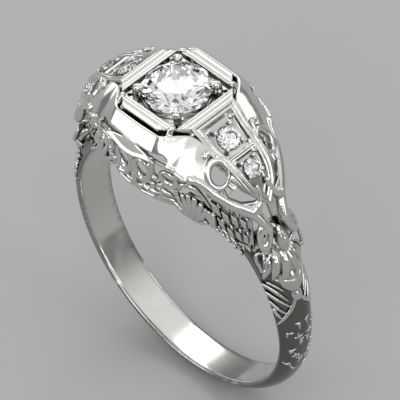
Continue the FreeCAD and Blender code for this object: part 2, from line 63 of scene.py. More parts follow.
def smooth_through(knots, values):
    """Monotone cubic through the knots, so a curve never swings past its points."""
    knots, values = np.asarray(knots, float), np.asarray(values, float)
    gap = np.diff(knots)
    rise = np.diff(values) / gap
    slope = np.zeros(len(knots))
    slope[0], slope[-1] = rise[0], rise[-1]
    for k in range(1, len(knots) - 1):
        if rise[k - 1] * rise[k] > 0:
            left, right = 2 * gap[k] + gap[k - 1], gap[k] + 2 * gap[k - 1]
            slope[k] = (left + right) / (left / rise[k - 1] + right / rise[k])

    def curve(at):
        at = np.asarray(at, float)
        k = np.clip(np.searchsorted(knots, at) - 1, 0, len(gap) - 1)
        s = (at - knots[k]) / gap[k]
        inside = ((1 + 2 * s) * (1 - s) ** 2 * values[k] + s * (1 - s) ** 2 * gap[k] * slope[k]
                  + s * s * (3 - 2 * s) * values[k + 1] + s * s * (s - 1) * gap[k] * slope[k + 1])
        before = values[0] + (at - knots[0]) * slope[0]
        after = values[-1] + (at - knots[-1]) * slope[-1]
        return np.where(at < knots[0], before, np.where(at > knots[-1], after, inside))
    return curve


# ---- distance fields

def smooth_min(a, b, blend):
    if blend <= 0:
        return np.minimum(a, b)
    h = np.clip(0.5 + 0.5 * (b - a) / blend, 0, 1)
    return b + (a - b) * h - blend * h * (1 - h)


def smooth_max(a, b, blend):
    return -smooth_min(-a, -b, blend)


def closed_curve(corners, rounds=5):
    """Smooth closed line through the corners."""
    loop = np.array([*corners[-2:], *corners, *corners[:3]], float)
    return catmull(loop, 2 + np.linspace(0, len(corners), len(corners) * rounds + 1)[:-1])


def polygon(corners):
    """Signed distance to a closed outline, as a function of u and v."""
    corners = np.array(corners, float)[:, :2]

    def distance(u, v):
        best = np.full(np.broadcast(u, v).shape, 1e9)
        inside = np.zeros(best.shape, bool)
        for a, b in zip(corners, np.roll(corners, -1, 0)):
            run = b - a
            along = np.clip(((u - a[0]) * run[0] + (v - a[1]) * run[1]) / (run @ run), 0, 1)
            best = np.minimum(best, (u - a[0] - along * run[0]) ** 2
                              + (v - a[1] - along * run[1]) ** 2)
            if a[1] != b[1]:
                inside ^= ((a[1] > v) != (b[1] > v)) & (
                    u < run[0] * (v - a[1]) / run[1] + a[0])
        return np.where(inside, -1, 1) * np.sqrt(best)
    return distance


REACH = 0.25  # how far round a solid its field is worked out


class Field:
    """Signed distance on a regular grid; solids are added and cut locally."""

    def __init__(self, low, high, step):
        self.low, self.step = np.array(low, float), step
        count = np.ceil((np.array(high, float) - self.low) / step).astype(int) + 1
        self.axes = [self.low[k] + step * np.arange(count[k]) for k in range(3)]
        self.value = np.full(count, 0.5, np.float32)

    def block(self, low, high):
        spans = []
        for k in range(3):
            first, last = np.searchsorted(self.axes[k], (low[k], high[k]))
            if last <= first:
                return None, None
            spans.append(slice(first, last))
        grid = np.meshgrid(*(self.axes[k][spans[k]] for k in range(3)), indexing="ij", sparse=True)
        return tuple(spans), grid

    def add(self, shape, low, high, blend=0.04, sign=1):
        """Join a solid that lies between low and high; a sign of -1 takes it away."""
        spans, grid = self.block(np.array(low) - REACH, np.array(high) + REACH)
        if spans:
            self.value[spans] = sign * smooth_min(sign * self.value[spans], shape(*grid), blend)

    def cut(self, shape, low, high, blend=0.04):
        self.add(shape, low, high, blend, -1)

    def everywhere(self, shape):
        grid = np.meshgrid(*self.axes, indexing="ij", sparse=True)
        self.value = np.broadcast_to(shape(*grid), self.value.shape).astype(np.float32).copy()

    def ball(self, centre, radius, blend=0.04, stretch=(1, 1, 1), remove=False):
        """Ball, or an oval with half axes radius times stretch."""
        size = radius * np.array(stretch, float)

        def shape(u, v, w):
            near = np.sqrt(((u - centre[0]) / size[0]) ** 2 + ((v - centre[1]) / size[1]) ** 2
                           + ((w - centre[2]) / size[2]) ** 2)
            return (near - 1) * size.min()
        reach = np.array(centre, float)
        (self.cut if remove else self.add)(shape, reach - size, reach + size, blend)

    def rod(self, start, end, first, last=None, blend=0.04, remove=False):
        """Round-ended rod whose radius runs from first to last."""
        start, end = np.array(start, float), np.array(end, float)
        last = first if last is None else last
        run = end - start
        square = float(run @ run) + 1e-12

        def shape(u, v, w):
            along = ((u - start[0]) * run[0] + (v - start[1]) * run[1]
                     + (w - start[2]) * run[2]) / square
            along = np.clip(along, 0, 1)
            near = np.sqrt((u - start[0] - along * run[0]) ** 2
                           + (v - start[1] - along * run[1]) ** 2
                           + (w - start[2] - along * run[2]) ** 2)
            return near - (first + (last - first) * along)
        size = max(first, last)
        (self.cut if remove else self.add)(
            shape, np.minimum(start, end) - size, np.maximum(start, end) + size, blend)

    def wire(self, points, radii, blend=0.04, remove=False, rounds=3):
        """Smooth wire through the points, tapering through the radii."""
        points, radii = np.array(points, float), np.array(radii, float)
        if radii.ndim == 0:
            radii = np.full(len(points), float(radii))
        knots = np.arange(len(points))
        fine = np.linspace(0, len(points) - 1, (len(points) - 1) * rounds + 1)
        path = catmull(points, fine)
        sizes = np.interp(fine, knots, radii)
        for k in range(len(fine) - 1):
            self.rod(path[k], path[k + 1], sizes[k], sizes[k + 1], blend if k == 0 else 0.02,
                     remove)

    def pierce(self, corners, blend=0.08):
        """Cut a smooth opening right through a sheet."""
        line = closed_curve(corners)
        distance = polygon(line)
        low, high = line.min(0)[:2] - 0.1, line.max(0)[:2] + 0.1
        self.cut(lambda u, v, w: distance(u, v) + 0 * w, (*low, self.axes[2][0]),
                 (*high, self.axes[2][-1]), blend)

    def mirror(self, axis):
        """Whole field from the half on the positive side of an axis, which starts at zero."""
        flipped = np.flip(self.value, axis)
        keep = [slice(None)] * 3
        keep[axis] = slice(0, -1)
        self.value = np.concatenate([flipped[tuple(keep)], self.value], axis)
        self.axes[axis] = np.concatenate([-self.axes[axis][:0:-1], self.axes[axis]])
        self.low = np.array([ends[0] for ends in self.axes])
        return self


def catmull(points, at):
    """Points on the smooth curve through a list of points."""
    k = np.clip(at.astype(int), 0, len(points) - 2)
    s = (at - k)[:, None]
    last = len(points) - 1
    before, after = points[np.maximum(k - 1, 0)], points[np.minimum(k + 2, last)]
    here, there = points[k], points[k + 1]
    return 0.5 * (2 * here + (there - before) * s
                  + (2 * before - 5 * here + 4 * there - after) * s ** 2
                  + (3 * here - before - 3 * there + after) * s ** 3)


def surface(field, relax=2):
    """Points and quads of a field's zero surface, eased to lie smoothly."""
    value = np.pad(field.value, 1, constant_values=0.5)
    inside = value < 0
    count = np.array(value.shape)
    total = np.zeros(tuple(count - 1) + (3,), np.float32)
    hits = np.zeros(tuple(count - 1), np.int16)
    corners = [(0, 0), (0, 1), (1, 0), (1, 1)]
    for axis in range(3):
        others = [k for k in range(3) if k != axis]
        for pair in corners:
            first, last = [None] * 3, [None] * 3
            for k, offset in zip(others, pair):
                first[k] = last[k] = slice(offset, count[k] - 1 + offset)
            first[axis], last[axis] = slice(0, count[axis] - 1), slice(1, count[axis])
            a, b = value[tuple(first)], value[tuple(last)]
            crossing = inside[tuple(first)] != inside[tuple(last)]
            share = np.where(crossing, a / np.where(crossing, a - b, 1), 0)
            total[..., axis] += share
            for k, offset in zip(others, pair):
                total[..., k] += offset * crossing
            hits += crossing
    active = hits > 0
    number = np.full(hits.shape, -1, np.int64)
    number[active] = np.arange(active.sum())
    cells = np.argwhere(active)
    points = cells + total[active] / hits[active][:, None]
    quads = []
    for axis in range(3):
        first = [slice(1, n - 1) for n in count]
        last = [slice(1, n - 1) for n in count]
        first[axis], last[axis] = slice(0, count[axis] - 1), slice(1, count[axis])
        here = inside[tuple(first)]
        edges = np.argwhere(here != inside[tuple(last)])
        forward = here[tuple(edges.T)]
        base = edges + 1
        base[:, axis] -= 1
        u, v = (axis + 1) % 3, (axis + 2) % 3
        ring = []
        for du, dv in ((1, 1), (0, 1), (0, 0), (1, 0)):
            cell = base.copy()
            cell[:, u] -= du
            cell[:, v] -= dv
            ring.append(number[tuple(cell.T)])
        ring = np.stack(ring, 1)
        ring[~forward] = ring[~forward][:, ::-1]
        quads.append(ring)
    quads = np.concatenate(quads)
    points = relaxed(points, quads, relax)
    return field.low + (points - 1) * field.step, quads


def relaxed(points, quads, rounds):
    """Even out grid steps without shrinking the shape."""
    ends = np.concatenate([quads[:, [k, (k + 1) % 4]] for k in range(4)])
    ends = np.concatenate([ends, ends[:, ::-1]])
    degree = np.bincount(ends[:, 0], minlength=len(points))[:, None]
    for _ in range(rounds):
        for pull in (0.55, -0.57):
            mean = np.stack([np.bincount(ends[:, 0], points[ends[:, 1], k], len(points))
                             for k in range(3)], 1) / degree
            points = points + pull * (mean - points)
    return points


# ---- making pieces

MIRRORS = {"front_right": (1, 1), "front_left": (-1, 1), "back_right": (1, -1),
           "back_left": (-1, -1), "right": (1, 1), "left": (-1, 1), "front": (1, 1),
           "back": (1, -1), "": (1, 1)}


def piece(name, points, faces, material, slot, nodes=(), smooth=True):
    """Blender object from points in millimetres."""
    mesh = bpy.data.meshes.new(name)
    faces = np.asarray(faces)
    width = faces.shape[1]
    mesh.vertices.add(len(points))
    mesh.vertices.foreach_set("co", (np.asarray(points, np.float32) * MM).ravel())
    mesh.loops.add(faces.size)
    mesh.loops.foreach_set("vertex_index", faces.astype(np.int32).ravel())
    mesh.polygons.add(len(faces))
    mesh.polygons.foreach_set("loop_start", np.arange(0, faces.size, width, dtype=np.int32))
    mesh.update(calc_edges=True)
    mesh.validate()
    mesh.polygons.foreach_set("use_smooth", np.full(len(mesh.polygons), smooth))
    mesh.materials.append(material)
    thing = bpy.data.objects.new(name, mesh)
    bpy.context.scene.collection.objects.link(thing)
    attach(thing, "root")
    if nodes:
        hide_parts(*nodes)
    return thing


def copies(node, points, faces, places, material, slot=None):
    """One piece per place, mirrored from the front right one; each replaces its CAD node.

    The slot is the material's name, less any number Blender added, unless one is given; piece
    takes it but does not use it."""
    slot = slot or material.name.split(".")[0]
    for place in places:
        side_x, side_y = MIRRORS[place]
        shown = np.array(points) * (side_x, side_y, 1)
        turned = faces if side_x * side_y > 0 else faces[:, ::-1]
        label = f"{node}_{place}" if place else node
        piece(f"{label}_form", shown, turned, material, slot, [label])


QUARTERS = ("front_right", "front_left", "back_right", "back_left")


def used_only(points, faces):
    """Drop points that no face uses."""
    used, faces = np.unique(faces, return_inverse=True)
    return points[used], faces.reshape(-1, 4)


# ---- charts: flat to curved

class Chart:
    """Curved sheet ruled between two edge curves; u runs along it, v across, w outward."""

    def __init__(self, top, foot, start, end, samples=400):
        along = np.linspace(start, end, samples)
        self.top, self.foot = top(along), foot(along)
        middle = (self.top + self.foot) / 2
        step = np.linalg.norm(np.diff(middle, axis=0), axis=1)
        self.u = np.concatenate([[0], np.cumsum(step)]) - np.interp(
            max(start, 0), along, np.concatenate([[0], np.cumsum(step)]))
        self.along = along
        self.width = np.linalg.norm(self.foot - self.top, axis=1)

    def at(self, x, t):
        """Flat position of a point given by its station and its share across."""
        u = np.interp(x, self.along, self.u)
        return u, t * np.interp(x, self.along, self.width)

    def point(self, u, v):
        top = np.stack([np.interp(u, self.u, self.top[:, k]) for k in range(3)], 1)
        foot = np.stack([np.interp(u, self.u, self.foot[:, k]) for k in range(3)], 1)
        share = (v / np.interp(u, self.u, self.width))[:, None]
        return top + (foot - top) * share

    def place(self, flat):
        """Curved positions of flat points."""
        u, v, w = flat.T
        h = 0.04
        across = self.point(u, v + h) - self.point(u, v - h)
        along = self.point(u + h, v) - self.point(u - h, v)
        normal = np.cross(across, along)
        normal /= np.linalg.norm(normal, axis=1)[:, None] + 1e-9
        return self.point(u, v) + normal * w[:, None]


CAP_X = [0, 1.65, 3.2, 4.6, 5.5, 6.5, 7.3, 8.0]
cap_top_y = smooth_through(CAP_X, [3.37, 3.33, 1.86, 1.50, 1.32, 1.12, 0.50, 0.30])
cap_top_z = smooth_through(CAP_X, [13.80, 13.80, 13.62, 12.82, 12.10, 11.20, 10.00, 8.30])
cap_foot_y = smooth_through(CAP_X, [4.25, 4.20, 3.90, 3.20, 2.75, 2.00, 1.25, 0.80])
cap_foot_z = smooth_through(CAP_X, [12.20, 12.20, 12.10, 11.50, 10.80, 9.70, 8.90, 7.60])


def edge_curve(y, z):
    def curve(x):
        return np.stack([x, -y(np.abs(x)), z(np.abs(x))], 1)
    return curve


cap = Chart(edge_curve(cap_top_y, cap_top_z), edge_curve(cap_foot_y, cap_foot_z), -0.4, 8.6)
rim_y = smooth_through([0, 1.3, 2.0, 3.0, 3.8, 4.6, 5.3, 5.9, 6.5, 7.2],
                       [3.80, 3.70, 3.37, 2.87, 2.46, 2.10, 1.88, 1.72, 1.54, 1.46])
wall_y = smooth_through(CAP_X, [3.98, 3.94, 3.64, 2.96, 2.49, 1.80, 1.08, 0.66])


def rim_curve(x):
    across = np.clip(x, -7.2, 7.2)
    return np.stack([across, -rim_y(np.abs(across)), np.sqrt(FINGER ** 2 - across ** 2)], 1)


wall = Chart(edge_curve(wall_y, cap_foot_z), rim_curve, -0.4, 7.2)


# ---- materials

def new_material(name):
    material = bpy.data.materials.new(name)
    material.use_nodes = True
    nodes = material.node_tree.nodes
    return material, nodes, material.node_tree.links, nodes["Principled BSDF"]


def gold(name, tone, roughness, hollow_shade, scratch, grain, outward_shade=1.0):
    """Polished white gold: cloudy polish, fine scratches, painted shade darkening the hollows by
    pointiness and ambient occlusion; faces that look away from the finger are multiplied by a
    painted shade factor, the last argument."""
    material, nodes, links, shader = new_material(name)
    shader.inputs["Metallic"].default_value = 1.0
    where = nodes.new("ShaderNodeTexCoord")

    def noise(scale, detail, stretch=None):
        texture = nodes.new("ShaderNodeTexNoise")
        texture.inputs["Scale"].default_value = scale
        texture.inputs["Detail"].default_value = detail
        if stretch:
            mapping = nodes.new("ShaderNodeMapping")
            mapping.inputs["Scale"].default_value = stretch
            mapping.inputs["Rotation"].default_value = (0.3, 0.5, 0.2)
            links.new(where.outputs["Object"], mapping.inputs["Vector"])
            links.new(mapping.outputs["Vector"], texture.inputs["Vector"])
        else:
            links.new(where.outputs["Object"], texture.inputs["Vector"])
        return texture.outputs["Fac"]

    def span(source, low, high, start=0.0, end=1.0):
        node = nodes.new("ShaderNodeMapRange")
        node.inputs["From Min"].default_value, node.inputs["From Max"].default_value = start, end
        node.inputs["To Min"].default_value, node.inputs["To Max"].default_value = low, high
        links.new(source, node.inputs["Value"])
        return node.outputs["Result"]

    def mix(factor, first, second, blend="MIX"):
        """Mixed colour of two sides, each a colour or a node's output."""
        node = nodes.new("ShaderNodeMix")
        node.data_type, node.blend_type = "RGBA", blend
        for number, side in ((6, first), (7, second)):
            if isinstance(side, tuple):
                node.inputs[number].default_value = (*side, 1)
            else:
                links.new(side, node.inputs[number])
        links.new(factor, node.inputs[0])
        return node.outputs[2]

    def bump(height, strength, distance):
        node = nodes.new("ShaderNodeBump")
        node.inputs["Strength"].default_value = strength
        node.inputs["Distance"].default_value = distance
        links.new(height, node.inputs["Height"])
        return node

    cloud = noise(900, 4)
    lines = noise(2600, 3, (1.0, 9.0, 1.0))
    mixed = nodes.new("ShaderNodeMath")
    mixed.operation = "MULTIPLY"
    links.new(span(cloud, roughness * 0.7, roughness * 1.5, 0.3, 0.7), mixed.inputs[0])
    links.new(span(lines, 0.85, 1.3, 0.35, 0.65), mixed.inputs[1])
    links.new(mixed.outputs[0], shader.inputs["Roughness"])

    shape = nodes.new("ShaderNodeNewGeometry")
    # Painted shade: the colour falls to tone times the hollow factor in concave spots (pointiness)
    # and where ambient occlusion finds metal close by.
    hollow_shade_colour = tuple(c * hollow_shade for c in tone)
    colour = mix(span(shape.outputs["Pointiness"], 1.0, 0.0, 0.44, 0.50), tone, hollow_shade_colour)
    occlusion_shade = nodes.new("ShaderNodeAmbientOcclusion")
    occlusion_shade.samples = 8
    occlusion_shade.inputs["Distance"].default_value = 0.0014
    colour = mix(span(occlusion_shade.outputs["AO"], 0.0, 1.0, 0.15, 0.75), hollow_shade_colour, colour)
    # Painted shade: faces turned out from the ring's axis, away from the finger, are multiplied by
    # the outward shade factor, darkest on the band.
    flatten = nodes.new("ShaderNodeVectorMath")
    flatten.operation = "MULTIPLY"
    flatten.inputs[1].default_value = (1, 0, 1)
    links.new(shape.outputs["Position"], flatten.inputs[0])
    radial = nodes.new("ShaderNodeVectorMath")
    radial.operation = "NORMALIZE"
    links.new(flatten.outputs["Vector"], radial.inputs[0])
    facing = nodes.new("ShaderNodeVectorMath")
    facing.operation = "DOT_PRODUCT"
    links.new(radial.outputs["Vector"], facing.inputs[0])
    links.new(shape.outputs["Normal"], facing.inputs[1])
    colour = mix(span(facing.outputs["Value"], 0.0, 1.0, -0.2, 0.5), colour, (outward_shade,) * 3,
                 "MULTIPLY")
    colour = mix(span(cloud, 0.0, 1.0, 0.35, 0.7), colour, (0.985, 0.965, 0.94), "MULTIPLY")
    links.new(colour, shader.inputs["Base Color"])

    ripple = bump(noise(420, 2), grain, 0.0001)
    scratches = bump(lines, scratch, 0.00002)
    links.new(ripple.outputs["Normal"], scratches.inputs["Normal"])
    links.new(scratches.outputs["Normal"], shader.inputs["Normal"])
    return material


def diamond(name, tint, roughness):
    material, _, _, shader = new_material(name)
    shader.inputs["Transmission Weight"].default_value = 1.0
    shader.inputs["IOR"].default_value = 2.42
    shader.inputs["Roughness"].default_value = roughness
    shader.inputs["Base Color"].default_value = (*tint, 1)
    return material


TONE = (0.70, 0.69, 0.67)
# The fourth number of each gold is the painted shade left in its hollows; the seventh, given for
# band and shoulder, is the painted shade on faces turned away from the finger.
band_gold = gold("band_gold", TONE, 0.14, 0.40, 0.10, 0.10, 0.24)
shoulder_gold = gold("shoulder_gold", TONE, 0.14, 0.20, 0.05, 0.05, 0.9)
head_gold = gold("head_gold", TONE, 0.13, 0.26, 0.10, 0.12)
filigree_gold = gold("filigree_gold", TONE, 0.13, 0.16, 0.10, 0.10)
tray_gold = gold("tray_gold", TONE, 0.14, 0.62, 0.10, 0.10)
bead_gold = gold("bead_gold", TONE, 0.10, 0.30, 0.06, 0.05)
hidden_gold = gold("inside_gold", (0.95, 0.94, 0.93), 0.22, 0.95, 0.10, 0.10)
clear_diamond = diamond("clear_diamond", (1.0, 1.0, 1.0), 0.0)


def repaint(node, material):
    """Give a carried-over CAD node its material."""
    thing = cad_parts[node]
    thing.data.materials.clear()
    thing.data.materials.append(material)


# ---- skirt and scrolls

STEP = 0.045  # grid step of the larger fields
MIRROR_FROM = 0.02  # points this far below u = 0 belong to the mirrored half


def most(*sides):
    """Common part of several solids, given as signed distances."""
    result = sides[0]
    for side in sides[1:]:
        result = np.maximum(result, side)
    return result


def curved(chart, points, faces):
    """Bend flat points onto a chart; the half at negative u is the mirror image."""
    side = np.where(points[:, 0] < -MIRROR_FROM, -1.0, 1.0)
    bent = chart.place(points * np.stack([side, np.ones_like(side), np.ones_like(side)], 1))
    bent[:, 0] *= side
    return bent, faces[:, ::-1]


def on(chart, x, t, w=0.0):
    """Flat point at a station x, a share t across and a height w."""
    u, v = chart.at(x, t)
    return (float(u), float(v), w)


def path(chart, stations):
    return [on(chart, *station) for station in stations]


def outline(chart, stations):
    """Flat corners (u, v) of an opening or a sheet."""
    return [point[:2] for point in path(chart, stations)]


HOLE = np.array(on(cap, 5.22, 0.33)[:2])
HOLE_RADIUS = 0.66
FAN = [(5.30, 0.66), (5.62, 0.52), (5.86, 0.26), (5.95, 0.12), (6.24, 0.16), (6.14, 0.42),
       (5.95, 0.74), (5.70, 0.90), (5.40, 0.86)]
FOOT = [(-1.0, 1.08), (-0.5, 1.14), (0, 1.15), (0.5, 1.14), (1.0, 1.06), (1.7, 0.97),
        (2.1, 0.94), (2.5, 0.93), (2.81, 0.96), (3.5, 1.01), (4.0, 1.07), (4.4, 0.98),
        (4.68, 1.0), (5.1, 1.0), (5.5, 1.03), (5.9, 1.02), (6.3, 0.99), (6.75, 0.95),
        (7.15, 0.96)]


def cap_field():
    """Skirt panel with its openings, running on into the scroll wire and volute."""
    field = Field((0, -0.62, -0.75), (12.0, 4.1, 0.55), STEP)
    edge = outline(cap, [(-1.0, 0)] + FOOT + [(7.40, 0.75), (7.42, 0.40), (7.38, 0.06)])
    edge += [(on(cap, x, 0)[0], 0.03) for x in (7.2, 6.8)]
    edge += [(on(cap, x, 0)[0], -0.02) for x in (6.0, 3.3)]
    edge_distance = polygon(edge)

    def panel(u, v, w):
        border = edge_distance(u, v)
        crown = 0.12 * np.sin(np.clip(v / 2.3, 0, 1) * np.pi) * np.clip((9.5 - u) / 2.5, 0.3, 1)
        ticks = np.clip(np.cos(u * 2 * np.pi / 0.20) * 2, -1, 1) * 0.014
        ticks = ticks * np.clip(1 - np.abs(v - 0.20) / 0.13, 0, 1) * (u < 2.4)
        lip = 0.06 * np.exp(-((border + 0.12) / 0.13) ** 2) * (v > 0.8)
        outer = w - crown + ticks - lip
        inner = crown - 0.20 - 0.18 * np.clip(v / 0.8, 0, 1) - w
        return smooth_max(smooth_max(outer, inner, 0.04), border + 0 * w, 0.10)
    field.everywhere(panel)
    for x, size in ((2.26, 0.17), (3.12, 0.14)):
        u = on(cap, x, 0)[0]
        field.rod((u, -0.45, -0.24), (u, 0.10, -0.24), size, blend=0.08)
    field.pierce(outline(cap, [
        (0.62, 0.655), (1.25, 0.655), (1.77, 0.63), (2.25, 0.62), (2.58, 0.70), (2.74, 0.86),
        (2.50, 0.95), (2.20, 0.92), (1.90, 0.84), (1.46, 0.76), (1.0, 0.70)]))
    turns = np.linspace(0, 2 * np.pi, 12, endpoint=False)
    field.pierce([HOLE + HOLE_RADIUS * np.array((math.cos(t), math.sin(t))) for t in turns])
    field.pierce(outline(cap, FAN), 0.02)
    field.pierce(outline(cap, [
        (6.22, 0.20), (6.02, 0.50), (5.94, 0.66), (6.12, 0.70), (6.34, 0.69), (6.75, 0.54),
        (7.06, 0.28), (7.12, 0.09), (7.0, 0.03), (6.5, 0.08)]))
    turns = np.radians(np.arange(-30, 331, 30))
    rim = [(*(HOLE + (HOLE_RADIUS + 0.09) * np.array((math.cos(t), math.sin(t)))), 0.0)
           for t in turns]
    field.wire(rim, 0.19 - 0.07 * np.cos(turns), 0.12)
    scroll = [(4.25, 0.92), (4.60, 0.86), (5.00, 0.86), (5.40, 0.88), (5.80, 0.88),
              (6.20, 0.86), (6.60, 0.80), (6.95, 0.77), (7.25, 0.72), (7.50, 0.69),
              (7.72, 0.62), (7.92, 0.60)]
    eye = np.array(on(cap, 7.80, 1.18))
    run = path(cap, [(x, t, -0.10) for x, t in scroll])
    sizes = list(np.interp(np.linspace(0, 1, len(run)), [0, 0.3, 0.6, 1],
                           [0.24, 0.30, 0.36, 0.36]))
    first = np.array(run[-1]) - eye
    start, reach = math.atan2(first[1], first[0]), math.hypot(first[0], first[1])
    for step in range(1, 10):
        share = step / 9
        angle = start + math.radians(330) * share
        radius = reach * (1 - 0.58 * share)
        run.append((eye[0] + radius * math.cos(angle), eye[1] + radius * math.sin(angle),
                    -0.10 + 0.10 * share))
        sizes.append(0.33 - 0.08 * share)
    field.wire(run, sizes, 0.16)
    field.ball((eye[0], eye[1], -0.02), 0.40, 0.08, (1, 1, 0.7))
    field.rod((eye[0] - 0.04, eye[1] - 0.02, 0.30), (eye[0] - 0.08, eye[1] + 0.1, -0.02), 0.08,
              blend=0.03, remove=True)
    field.wire(path(cap, [(7.16, 0.70, -0.06), (7.25, 0.45, -0.02), (7.28, 0.20, -0.04),
                          (7.20, 0.0, -0.1), (7.02, -0.30, -0.16)]),
               [0.30, 0.26, 0.24, 0.22, 0.16], 0.12)
    field.ball(on(cap, 7.24, 0.32, 0.02), 0.20, 0.06)
    return field


cap_points, cap_faces = surface(cap_field().mirror(0))
face_u = cap_points[cap_faces, 0].mean(1)
cap_points, cap_faces = curved(cap, cap_points, cap_faces)
SPLIT = on(cap, 5.0, 0)[0]
skirt = used_only(cap_points, cap_faces[np.abs(face_u) < SPLIT])
scroll = used_only(cap_points, cap_faces[face_u >= SPLIT])
copies("head_skirt", *skirt, ("front", "back"), head_gold)
copies("scroll", *scroll, QUARTERS, filigree_gold)


def curl_field():
    field = Field((on(cap, 3.9, 0)[0], -0.35, -0.3), (on(cap, 5.6, 0)[0], 1.4, 0.6), 0.03)
    field.ball(on(cap, 4.22, 0.20, 0.10), 0.22)
    field.wire(path(cap, [(4.22, 0.22, 0.12), (4.30, 0.08, 0.16), (4.55, 0.04, 0.14),
                          (4.78, 0.09, 0.06), (4.92, 0.16, -0.04)]),
               [0.15, 0.14, 0.13, 0.12, 0.10])
    return field


copies("hole_curl", *curved(cap, *surface(curl_field())), QUARTERS, filigree_gold)


def fan_field():
    field = Field((HOLE[0] - 0.1, -0.1, -0.5), (HOLE[0] + 1.6, 2.2, 0.4), 0.028)
    rim = polygon(closed_curve(outline(cap, FAN)))

    def blade(u, v, w):
        angle = np.arctan2(v - HOLE[1], u - HOLE[0])
        ribs = 0.05 * np.cos(angle * 17)
        return smooth_max(smooth_max(w + 0.02 - ribs, -0.34 - w, 0.04),
                          rim(u, v) - 0.03 + 0 * w, 0.05)
    field.everywhere(blade)
    field.cut(lambda u, v, w: np.hypot(u - HOLE[0], v - HOLE[1]) - HOLE_RADIUS - 0.02 + 0 * w,
              (HOLE[0] - 1, HOLE[1] - 1, -0.5), (HOLE[0] + 1, HOLE[1] + 1, 0.4))
    return field


copies("fan_leaf", *curved(cap, *surface(fan_field())), QUARTERS, filigree_gold)


# ---- gallery

def up(stations):
    """Wall path from stations given as x, share above the rim, height."""
    return path(wall, [(x, 1 - t, *w) for x, t, *w in stations])


def leaf(field, x, t, length, width, tilt, lift=0.05):
    """Raised pointed leaf with a vein, long axis tilted from the rim."""
    u, v, w = up([(x, t, lift)])[0]
    turn = math.radians(tilt)
    reach = np.array([math.cos(turn), -math.sin(turn), 0]) * length
    middle = np.array([u, v, w])
    field.wire([middle - reach, middle - reach * 0.5, middle, middle + reach * 0.5,
                middle + reach], [0.04, width * 0.8, width, width * 0.8, 0.04], 0.04)
    field.wire([middle - reach * 0.7 + (0, 0, width), middle + (0, 0, width * 1.04),
                middle + reach * 0.7 + (0, 0, width)], [0.02, 0.05, 0.02], 0.03, remove=True)


def ring(field, x, t, half_u, half_v, thin, thick, tilt=0.0, lift=0.0):
    """Oval wire ring, thicker along its lower side."""
    u, v, _ = up([(x, t)])[0]
    turn = math.radians(tilt)
    points, sizes = [], []
    for step in range(15):
        angle = 2 * math.pi * step / 14
        du, dv = half_u * math.cos(angle), half_v * math.sin(angle)
        points.append((u + du * math.cos(turn) - dv * math.sin(turn),
                       v + du * math.sin(turn) + dv * math.cos(turn), lift))
        sizes.append(thin + (thick - thin) * (0.5 + 0.5 * math.sin(angle)))
    field.wire(points, sizes, 0.05)


# Station, share above the rim, half length, half width and tilt in degrees.
LEAVES = [(1.20, 0.27, 0.66, 0.25, -12), (2.24, 0.36, 0.56, 0.22, -22),
          (0.0, 0.32, 0.46, 0.22, 90), (0.0, 0.84, 0.42, 0.19, 90),
          (0.40, 0.21, 0.44, 0.18, 20), (2.95, 0.42, 0.40, 0.18, -60)]
STEMS = [(0.15, [(0.0, 0.12), (0.5, 0.08), (1.2, 0.12), (1.9, 0.17), (2.6, 0.20), (3.3, 0.16)]),
         (0.15, [(0.0, 0.50), (0.30, 0.40), (0.75, 0.34)]),
         (0.15, [(1.60, 0.46), (1.42, 0.36), (1.05, 0.30)]),
         (0.15, [(2.05, 0.52), (2.30, 0.56), (2.60, 0.55)]),
         (0.14, [(2.02, 0.50), (1.95, 0.34), (1.80, 0.14)]),
         (0.13, [(0.0, 0.60), (0.0, 1.04)]),
         (0.15, [(3.20, 0.80), (3.34, 0.94), (3.3, 1.04)]),
         (0.14, [(2.95, 0.50), (3.0, 0.36), (2.9, 0.18)]),
         (0.14, [(0.0, 1.0, -0.1), (0.8, 1.0, -0.1), (1.7, 1.0, -0.1), (2.6, 0.98, -0.1),
                 (3.4, 1.0, -0.1)])]


def leaves_field():
    field = Field((0, -0.35, -0.55), (3.7, 4.5, 0.55), STEP)
    ring(field, 0.74, 0.63, 0.60, 0.80, 0.13, 0.27, 8)
    ring(field, 2.70, 0.74, 0.56, 0.55, 0.12, 0.25, -8)
    field.wire(up([(1.62, 0.70, 0.02), (1.70, 0.88, 0.08), (1.72, 1.06, 0.0)]),
               [0.17, 0.20, 0.16])
    field.ball(up([(1.66, 0.92, 0.14)])[0], 0.22)
    field.ball(up([(1.80, 0.66, 0.12)])[0], 0.22)
    field.ball(up([(1.56, 0.48, 0.12)])[0], 0.19)
    field.ball(up([(2.02, 0.53, 0.12)])[0], 0.17)
    for spot in LEAVES:
        leaf(field, *spot)
    for size, stations in STEMS:
        field.wire(up(stations), size)
    return field


copies("gallery_leaves", *curved(wall, *surface(leaves_field().mirror(0))), ("front", "back"),
       filigree_gold)


def rail_field():
    field = Field((0, 2.9, -0.75), (8.4, 4.9, 0.35), STEP)
    stations = np.linspace(0, 6.2, 24)
    points = []
    for x in stations:
        u, v, _ = on(wall, x, 1.0)
        points.append((u, v - 0.27, -0.22))
    field.wire(points, 0.26, rounds=2)
    return field


copies("gallery_rail", *curved(wall, *surface(rail_field().mirror(0))), ("front", "back"),
       filigree_gold)


